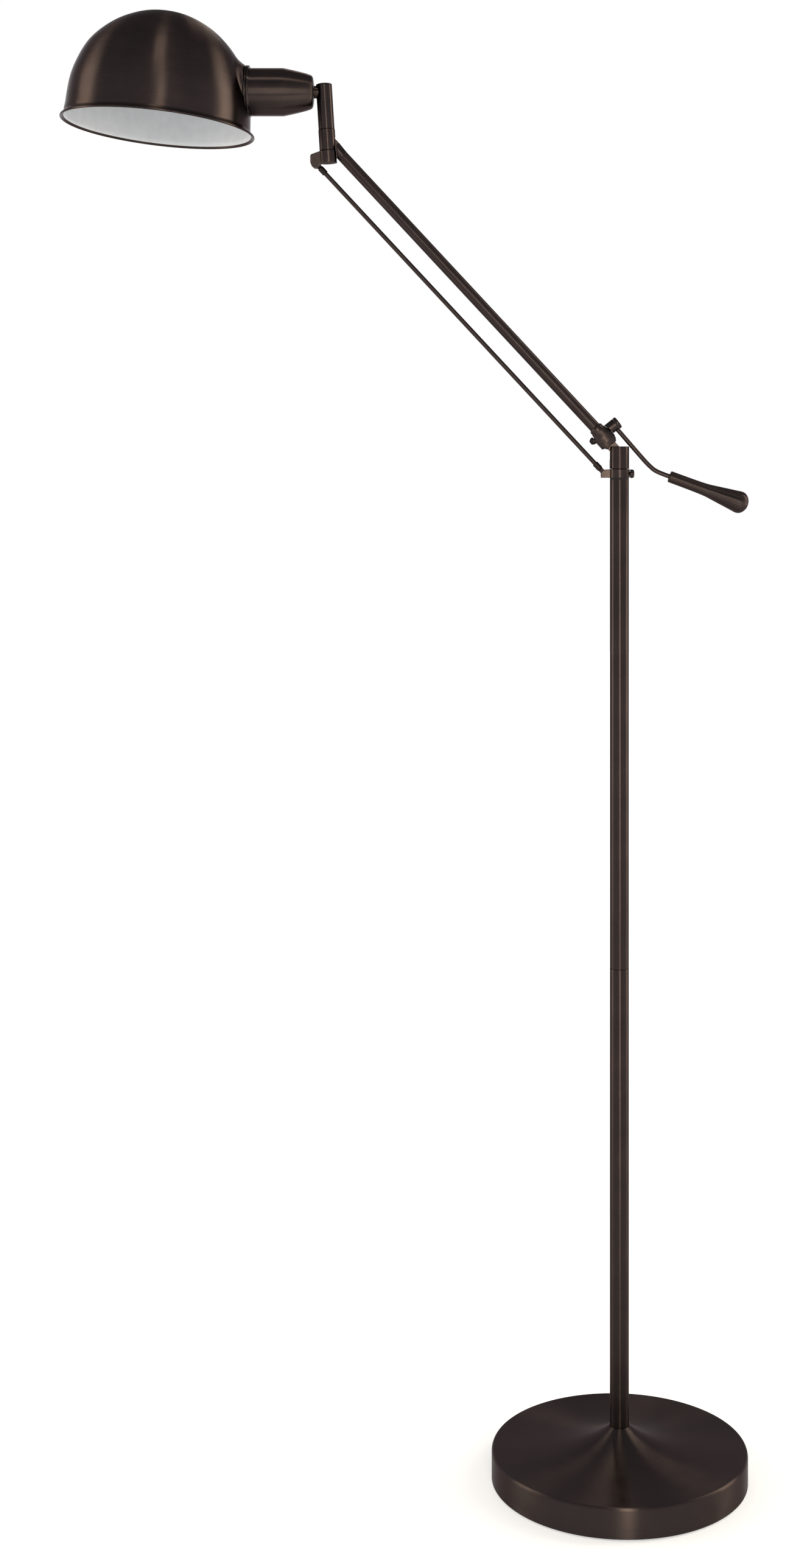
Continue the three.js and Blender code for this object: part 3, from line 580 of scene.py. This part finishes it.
nose = cut(
    turned_x([(0, T(24)), (ARM_R - ARM_WALL - GAP, T(24)), (ARM_R - ARM_WALL - GAP, T(16.9)), (ARM_R, T(16.8)), (6.1, T(9)), (6.5, T(4.9)), (6.5, T(0)), (0, T(0))], 96),
    plate(up([(T(4.9), 20), (T(4.9), 3.2), (T(8.9), 0), (T(17.3), -6.8), (T(17.3), -20), (T(-10), -20), (T(-10), 20)]), -20, 20),
)
nose = join(nose, rod_x(ARM_R - ARM_WALL - GAP, T(34), T(20)), rod_y(6.3, -2.5, 2.5, T(0), 0),
            plate(up([(T(16.8), -5.6), (T(16.8), 5.5), (T(6), 6.3), (T(0), 6.3), (T(0), -5.6)]), -2.5, 2.5))
nose = cut(nose, rod_y(PIN_R + 0.1, -10, 10, T(0), 0), rod_x(1.9, T(40), T(16)))
piece("arm_tongue_upper_vis", forged(nose, 0.24, 3), "arm", ["arm_tongue_upper"], M_CAST, ARM)

# steering handle
piece("lever_rod_vis", bent_rod(LEVER, LEVER_R, 8, 40), "arm", ["lever_rod"], M_CAST)
grip = [(0, 0), (5.2, 0), (5.8, 0.7)] + spline([(5.8, 0.7), (5.95, 25), (6.15, 34), (6.5, 40.1), (7.3, 46.2), (8.15, 52.3), (9.0, 58.3), (9.85, 64.4), (10.7, 70.4)], 6)[1:] \
    + spline([(10.7, 70.4), (11.12, 73.9), (10.55, 77.1), (8.6, 80.0), (4.6, 82.6), (0, 83.6)], 6)[1:]
grip = cut(turned_x(grip, 96), rod_x(LEVER_R + 0.75, -5, 10.5))
piece("handle_grip_vis", grip, "arm", ["handle_grip"], M_X, spot(HANDLE_X, 0, HANDLE_Z, ry(DROP)))

# link rod
piece("link_rod_vis", turned_x([(0, 13.2), (LINK_R, 13.2), (LINK_R, ARM_L - 13.2), (0, ARM_L - 13.2)], 64), "link", ["link_rod"], M_X, LINK)


def eye(x, s):
    f = [(0, 5.4), (2.4, 5.4), (3.0, 6.4), (3.0, 13.2), (2.4, 13.6), (0, 13.6)]
    ferrule = turned_x(soften([(r, x + s * t) for r, t in (f if s > 0 else reversed(f))], 0.3), 64)
    e = join(rod_y(2.9, -1.5, 1.5, x, 0), block(min(x, x + s * 7), max(x, x + s * 7), -1.5, 1.5, -2.4, 2.4), ferrule)
    return forged(cut(e, rod_y(1.4, -5, 5, x, 0)), 0.18, 3)


piece("link_end_lower_vis", eye(0, 1), "link", ["link_end_lower"], M_DARK, LINK)
piece("link_end_upper_vis", eye(ARM_L, -1), "link", ["link_end_upper"], M_DARK, LINK)

# head bracket
cl, sl = math.cos(rad(LEAN)), math.sin(rad(LEAN))


def to_head(x, z):
    dx, dz = x - HX, z - HZ
    return dx * cl + dz * sl, -dx * sl + dz * cl


bx, bz = to_head(BX, BZ)
dx, dz = to_head(DX, DZ)
H0, H1, POST_TOP, STEM_TOP = -18.9, -6.3, 15.0, 60.6


def post_slot():
    return join(
        rod_y(7.3, -SH, SH, bx, bz),
        *[moved(plate([(0, -6.5), (30, -6.5), (30, 7.0), (0, 7.0)], -SH, SH), at(bx, 0, bz) @ ry(180 - ARM_ANGLE + LEAN - low)) for low in (-5.6, 12, 29, 45.6)],
    )


def link_room():
    return join(*[moved(turned_x([(0, -3.5), (3.6, -3.5), (3.6, 14.2), (2.8, 14.6), (2.8, 60), (0, 60)], 48),
                        at(dx, 0, dz) @ ry(180 - ARM_ANGLE + LEAN - low)) for low in (12, 29, 45.6)])


post = turned([(0, H0 + 0.4), (6.7, H0 + 0.4), (6.7, H1 + GAP), (POST_R - 0.3, H1 + GAP), (POST_R, H1 + GAP + 0.3), (POST_R, POST_TOP - 0.35), (POST_R - 0.35, POST_TOP),
               (5.0, POST_TOP), (5.0, 34), (4.4, 34.8), (0, 34.8)], 128)
post = cut(post, post_slot(), link_room(), rod_y(PIN_R + GAP, -6.1, 6.1, bx, bz), rod(2.0, 5, 40))
piece("head_post_vis", post, "head_bracket", ["head_post"], M_Z, HEAD)
piece("head_pin_vis", moved(turned(soften([(0, -5.8), (PIN_R, -5.8), (PIN_R, 5.8), (0, 5.8)], 0.3), 48), at(bx, 0, bz) @ RY), "head_bracket", ["head_pin"], M_DARK, HEAD)
ear_top = [(-5.5, -6.6), (-8.0, -6.7), (-16.6, -9.3), (-17.6, -10.6), (-18.0, -17.4), (-17.0, -20.6), (-14.6, -22.9), (-11.6, -23.2), (-9.0, -21.4), (-7.8, -18.9), (-5.5, -18.9)]
hc = join(pipe(7.0, 8.75, H0, H1, 128, 0.4), cut(plate(ear_top, -4.9, 4.9), rod(7.6, -40, 10)))
hc = cut(hc, post_slot(), link_room(), plate([(dx - 8, dz + 3.6), (dx + 3.9, dz + 3.6), (dx + 3.9, dz - 9), (dx - 8, dz - 9)], -1.95, 1.95),
         rod_y(1.3 + GAP, -3.7, 3.7, dx, dz))
piece("head_collar_vis", forged(hc, 0.22, 3), "head_bracket", ["head_collar"], M_CAST, HEAD)
piece("link_pin_upper_vis", moved(turned(soften([(0, -3.5), (1.3, -3.5), (1.3, 3.5), (0, 3.5)], 0.3), 40), at(dx, 0, dz) @ RY), "head_bracket", ["link_pin_upper"], M_DARK, HEAD)

# stem
stub_z = (CUP_Z - HZ) / cl
STUB = at(0, 0, stub_z) @ ry(LEAN)
stem = cut(pipe(5.3, STEM_R, POST_TOP + GAP, STEM_TOP - 1.5, 128, 0.3), moved(rod_x(4.1, -20, 0), STUB))
piece("stem_sleeve_vis", stem, "stem", ["stem_sleeve"], M_Z, HEAD)
cap = [(0, STEM_TOP - 3.6), (5.0, STEM_TOP - 3.6), (5.0, STEM_TOP - 1.2), (STEM_R - 0.25, STEM_TOP - 1.2), (STEM_R, STEM_TOP - 0.95), (STEM_R - 0.15, STEM_TOP - 0.65),
       (STEM_R - 0.6, STEM_TOP - 0.36), (6.4, STEM_TOP + 0.08), (4.5, STEM_TOP + 0.45), (2.3, STEM_TOP + 0.7), (0, STEM_TOP + 0.79)]
piece("stem_cap_vis", turned(cap, 128), "stem", ["stem_cap"], M_Z, HEAD)
swivel_x = HX - sl * stub_z * cl
shadow = moved(turned([(0.01, -60), (STEM_R + GAP, -60), (STEM_R + GAP, 60), (0.01, 60), (0.01, -60)], 96), at(swivel_x, 0, 0) @ ry(-LEAN))
nipple = cut(
    join(cut(turned_x([(0, -305.0), (STUB_R, -305.0), (STUB_R, -298), (0, -298)], 96), shadow), turned_x([(0, -318.4), (3.8, -318.4), (3.8, -298.2), (0, -298.2)], 64)),
    rod_x(2.3, -320, -290),
)
piece("swivel_nipple_vis", nipple, "stem", ["swivel_nipple"], M_X, CUP)

# socket cup and its fittings
cup = [(4.1, -305.4)] + spline([(12.6, -305.4), (14.6, -305.85), (16.3, -306.9), (17.2, -308.4)], 4) + [(18.55, -312.2), (20.3, -319.0), (22.05, -326.6), (23.6, -334.0), (CUP_R, -335.6)] \
    + [(CUP_R, -368.5), (CUP_R - 0.2, -368.74), (CUP_R - 1.5, -368.74), (CUP_R - 1.5, -336), (21.0, -329), (18.0, -315.5), (15.5, -308.2), (4.1, -307.9)]
cup.append(cup[0])
piece("socket_cup_vis", turned_x(cup, 160), "shade_head", ["socket_cup"], M_X, CUP)
holder = cut(
    turned_x(soften([(0, -366.0), (18.6, -366.0), (18.6, -333.0), (16.2, -326.0), (13.0, -319.0), (0, -319.0)], 0.6), 96),
    rod_x(13.9, -372, -338), rod_x(4.1, -330, -310),
)
piece("lampholder_vis", holder, "shade_head", ["lampholder"], M_HOLDER, CUP)
thread = [(0, -364.0)]
for i in range(7):
    z = -364.0 + 2.6 * i
    thread += [(13.2, z + 0.1), (13.2, z + 1.0), (12.7, z + 1.6), (12.7, z + 2.3)]
thread += [(13.2, -345.7), (9, -342.5), (4.5, -341), (0, -341)]
piece("bulb_base_vis", turned_x(thread, 64), "shade_head", ["bulb_base"], M_BRASS, CUP)
bulb = [(0, -364.4), (12.6, -364.4), (13.0, -372), (14.0, -384), (14.0, -435)] + spline([(14.0, -435), (13.4, -442), (10.6, -447.6), (6.0, -451), (0, -452)], 6)[1:]
piece("bulb_vis", turned_x(bulb, 64), "shade_head", ["bulb"], M_BULB, CUP)
ring = [(24.2, -372.6), (25.75, -372.6), (26.3, -372.45), (26.63, -372.05), (26.7, -371.6), (26.6, -371.15), (26.3, -370.85), (25.9, -370.7), (26.3, -370.55),
        (26.6, -370.25), (26.7, -369.8), (26.63, -369.35), (26.3, -368.95), (25.75, -368.8), (24.2, -368.8), (24.2, -372.6)]

# shade: a spun dome drawn out on one side into a short neck
DOME = at(SHADE_X, SHADE_Y, SHADE_Z) @ ry(TILT) @ Matrix.Rotation(rad(ROLL), 4, "X")
TO_DOME = DOME.inverted()
crown = [(0, 118.4), (9, 118.05), (16.6, 117.0), (24, 115.4), (30.6, 113.3), (38.2, 110.0), (46.6, 105.5), (54.0, 100.5), (61.0, 94.7), (68.4, 87.3), (75.2, 78.6),
         (79.8, 70.2), (83.4, 61.6), (86.2, 53.0), (88.2, 44.5), (89.6, 36.0), (90.4, 27.5), (90.8, 22.0), (91.1, 16.2), (91.45, 11.0), (92.0, 6.5)]


def inset(r, z, k):
    return r - k * (0.25 + 0.75 * min(1.0, (125 - z) / 70.0)), z - k * max(0.0, (z - 30) / 88.0)


outer = spline(crown, 7)
dense = []
for a, b in zip(outer, outer[1:]):
    n = max(1, round((Vector(b) - Vector(a)).length / 1.15)) if b[1] < 90 else 1
    dense += [(a[0] + (b[0] - a[0]) * j / n, a[1] + (b[1] - a[1]) * j / n) for j in range(n)]
dense.append(outer[-1])
inner_c = [inset(r, z, WALL) for r, z in reversed(spline(crown[1:-2], 3))]
inner_c = [(90.7, 7.0)] + inner_c
lip_out = [(92.7, 5.2), (93.8, 4.1), (95.2, 3.1), (96.3, 2.35), (96.75, 1.8), (96.8, 1.2), (96.5, 0.6), (95.9, 0.25)]
lip_in = [(95.2, 0.3), (94.2, 1.1), (93.2, 2.3), (92.1, 3.9), (91.2, 5.4)]
prof = dense + lip_out + lip_in + inner_c + [(0, 118.4 - WALL)]
angles = [rad(-39 + 0.55 * i) for i in range(142)] + [rad(39.2 + 1.6 * i) for i in range(176)]
shell = turned(prof, angles=angles)
n_in = len(dense) + len(lip_out) + len(lip_in)

NECK = [(0.0, -373.0), (26.2, -373.0), (27.6, -374.6), (28.9, -376.3), (31.3, -379.3), (33.8, -382.3), (37.0, -386.4), (45.0, -396.5)]
# The spun wall isn't quite true to its rim: a little fuller low down, and
# leaning back as it rises. (height, change of radius), (height, shift).
FULLER = [(-9, 0), (3, 0), (7, 0.9), (16, 0.95), (30, 0.6), (45, 0.15), (60, -0.6), (80, -0.9), (100, -1.0), (112, -0.8), (119, 0)]
LEANS = [(-9, 0), (3, 0), (7, -0.6), (16, -0.65), (30, -1.2), (45, -1.8), (60, -2.2), (80, -2.5), (119, -2.6)]


def softly(table):
    """The table as a smooth curve, so that the wall has no kinks."""
    fine = spline(table[1:], 8)

    def value(z):
        if z <= fine[0][0]:
            return fine[0][1]
        for (a0, v0), (a1, v1) in zip(fine, fine[1:]):
            if z <= a1:
                return v0 + (v1 - v0) * (z - a0) / (a1 - a0)
        return fine[-1][1]

    return value


fuller, leans = softly(FULLER), softly(LEANS)
skin = {}
for i, v in enumerate(shell.vertices):
    skin[i] = (math.hypot(v.co.x, v.co.y), v.co.z)
    x, y, z = v.co
    r = skin[i][0]
    k = (r + fuller(z) * min(1.0, r / 30.0)) / r if r > 1 else 1.0
    v.co = Vector((x * k + leans(z), y * k, z - 0.8 * max(0.0, z / 118.4) ** 4))


def neck_x(rho):
    for (r0, x0), (r1, x1) in zip(NECK, NECK[1:]):
        if rho <= r1:
            return x0 + (x1 - x0) * (rho - r0) / (r1 - r0)
    return -400.0


for i, v in enumerate(shell.vertices):
    q = DOME @ v.co
    rr, zz = skin[i]
    if q.x < -425 or rr > 92.3:
        continue
    rho = math.hypot(q.y, q.z - CUP_Z)
    if rho > 48:
        continue
    # only the outer skin is drawn out; the inner skin stays on the dome
    if min((c[0] - rr) ** 2 + (c[1] - zz) ** 2 for c in dense) > 0.3:
        continue
    a, b, k = q.x, neck_x(rho), 2.4
    h = max(0.0, min(1.0, 0.5 + 0.5 * (a - b) / k))
    x = b + (a - b) * h + k * h * (1 - h)
    x = min(x, max(a, -373.0)) if rho < 26.2 else x
    v.co = TO_DOME @ Vector((x, q.y, q.z))
shell.update()
for p in shell.polygons:
    c = p.center
    rr = math.hypot(c.x, c.y)
    axis_side = p.normal.dot(Vector((c.x, c.y, max(0.0, c.z - 20.0)))) < 0
    p.material_index = 1 if axis_side and c.z > 1.7 and rr < 94.0 else 0
bore = moved(rod_x(23.6, -410, -366, 0, CUP_Z, 96), TO_DOME)
shell = cut(shell, bore)
piece("shade_vis", shell, "shade_head", ["shade"], [M_SHADE, M_WHITE],
      Matrix.Translation(DOME.translation * MM) @ DOME.to_3x3().to_4x4(), angle=40)
piece("neck_ring_vis", turned_x(ring, 160), "shade_head", ["neck_ring"], M_X, CUP)

# ------------------------------------------- CAD nodes carried over, with finish
CARRIED = {
    "base_pad": M_PAD, "base_weight": M_IRON, "base_washer": M_STEEL, "base_nut": M_STEEL, "foot_nipple": M_STEEL, "foot_insert": M_STEEL,
    "pole_coupler": M_STEEL, "pole_lead": M_LEAD, "pole_spigot": M_STEEL, "arm_lead": M_LEAD, "nipple_nut": M_STEEL,
}
for n, m in CARRIED.items():
    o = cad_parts[n]
    o.data.materials.clear()
    o.data.materials.append(m)
    for p in o.data.polygons:
        p.material_index = 0

# ---------------------------------------------------------------- floor, light
floor = raw([(-9, -9, -0.0006), (9, -9, -0.0006), (9, 9, -0.0006), (-9, 9, -0.0006)], [(0, 1, 2, 3)])
fm, nt, fp = _mat("floor_white")
fp.inputs["Base Color"].default_value = (0.66, 0.66, 0.66, 1)
fp.inputs["Emission Color"].default_value = (1.0, 1.0, 1.0, 1)
far = nt.nodes.new("ShaderNodeVectorMath")
far.operation = "LENGTH"
nt.links.new(nt.nodes.new("ShaderNodeTexCoord").outputs["Object"], far.inputs[0])
nt.links.new(_range(nt, far.outputs["Value"], 0.9, 3.0, 0.45, 0.95), fp.inputs["Emission Strength"])
fp.inputs["Roughness"].default_value = 1.0
fp.inputs["Specular IOR Level"].default_value = 0.0
floor.materials.append(fm)
fo = bpy.data.objects.new("floor", floor)
SC.collection.objects.link(fo)

world = bpy.data.worlds.new("studio")
SC.world = world
world.use_nodes = True
nt = world.node_tree
nt.nodes.clear()
wo = nt.nodes.new("ShaderNodeOutputWorld")
bg = nt.nodes.new("ShaderNodeBackground")
tc = nt.nodes.new("ShaderNodeTexCoord")
sep = nt.nodes.new("ShaderNodeSeparateXYZ")
nt.links.new(tc.outputs["Generated"], sep.inputs[0])
bg.inputs["Strength"].default_value = 1.0
nt.links.new(_colour(nt, _range(nt, sep.outputs[2], 0.21, 0.60, 0.0, 1.0), (1.0, 1.0, 1.0), (0.45, 0.45, 0.47)), bg.inputs["Color"])
nt.links.new(bg.outputs[0], wo.inputs[0])


def softbox(name, loc, target, sx, sy, radiance, colour=(1.0, 1.0, 1.0)):
    d = bpy.data.lights.new(name, "AREA")
    d.shape = "RECTANGLE"
    d.size, d.size_y = sx, sy
    d.color = colour
    d.energy = radiance * sx * sy * math.pi
    o = bpy.data.objects.new(name, d)
    SC.collection.objects.link(o)
    o.location = loc
    o.rotation_mode = "QUATERNION"
    o.rotation_quaternion = (Vector(target) - Vector(loc)).to_track_quat("-Z", "Y")
    o.visible_camera = False
    return o


WARM_LIGHT = (1.0, 0.90, 0.69)
softbox("left_box", (-2.42, 0.18, 1.45), (-0.3, 0.0, 1.35), 0.90, 2.8, 3.8, WARM_LIGHT)
softbox("right_box", (2.0, 0.42, 1.55), (0.0, 0.0, 1.40), 0.85, 2.9, 5.4, WARM_LIGHT)
softbox("front_box", (0.06, -2.9, 1.30), (0.05, 0.0, 1.30), 0.46, 1.3, 11.5, WARM_LIGHT)
softbox("low_strip", (0.10, -1.22, 0.385), (0.0, 0.0, 0.385), 0.16, 0.75, 8.0, WARM_LIGHT)
softbox("back_box", (-0.10, 1.75, 2.75), (0.0, 0.0, 0.05), 0.14, 1.1, 7.0, WARM_LIGHT)
softbox("top_box", (-0.22, -1.15, 3.35), (-0.30, 0.0, 1.38), 0.42, 0.45, 11.0, WARM_LIGHT)

# ---------------------------------------------------------------------- camera
cd = bpy.data.cameras.new("camera")
cd.sensor_width = 36.0
cd.sensor_fit = "AUTO"
cd.lens = 3620.0 / 2576.0 * 36.0
cd.shift_x = -136.5 / 2576.0
cd.shift_y = -550.0 / 2576.0
cd.clip_start, cd.clip_end = 0.05, 60.0
cam = bpy.data.objects.new("camera", cd)
SC.collection.objects.link(cam)
cam.location = (-0.1430, -2.200, 1.0270)
cam.rotation_euler = (math.pi / 2, 0.0, 0.0)
SC.camera = cam
SC.view_settings.view_transform = "Standard"
SC.view_settings.look = "None"
SC.view_settings.exposure = 0.0
